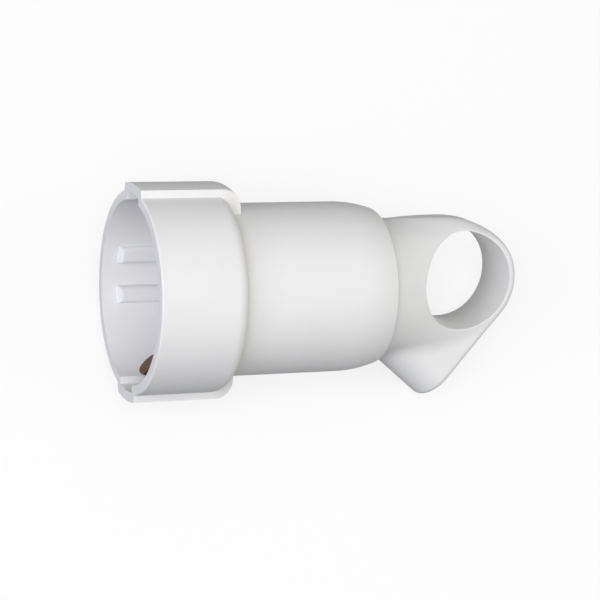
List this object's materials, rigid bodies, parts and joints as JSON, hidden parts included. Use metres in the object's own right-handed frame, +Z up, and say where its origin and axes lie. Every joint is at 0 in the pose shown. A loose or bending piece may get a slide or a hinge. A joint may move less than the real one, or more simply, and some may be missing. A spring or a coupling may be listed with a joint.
{
  "type": "angled trailing socket",
  "caption": "White trailing mains socket: round recess with side earth clips, smooth barrel, and a rear finger ring whose spout leads the cord out at an angle.",
  "frame": {"origin": "under the middle of the socket as it lies, at the ground", "axes": "+X along the plug axis from the mouth to the ring, turned 6 degrees down to it; +Z up"},
  "size_m": [0.0912, 0.0452, 0.0453],
  "materials": {
    "white_plastic": "fine satin moulding",
    "insert_plastic": "plain moulding",
    "contact_brass": "turned",
    "clip_bronze": "dull strip",
    "screw_steel": "zinc plated",
    "clamp_plastic": "plain moulding"
  },
  "bodies": {
    "root": {"centre_screw": "screw_steel", "contact_block": "insert_plastic", "contact_retainer": "insert_plastic", "cord_clamp": "clamp_plastic", "cord_clamp_screws": "screw_steel", "earth_strap": "clip_bronze", "earth_terminal": "contact_brass", "front_housing": "white_plastic", "live_contact": "contact_brass", "live_sleeve_spring": "screw_steel", "neutral_contact": "contact_brass", "neutral_sleeve_spring": "screw_steel", "ring_body": "white_plastic", "screw_nut": "contact_brass", "terminal_screws": "screw_steel"}
  },
  "joints": []
}
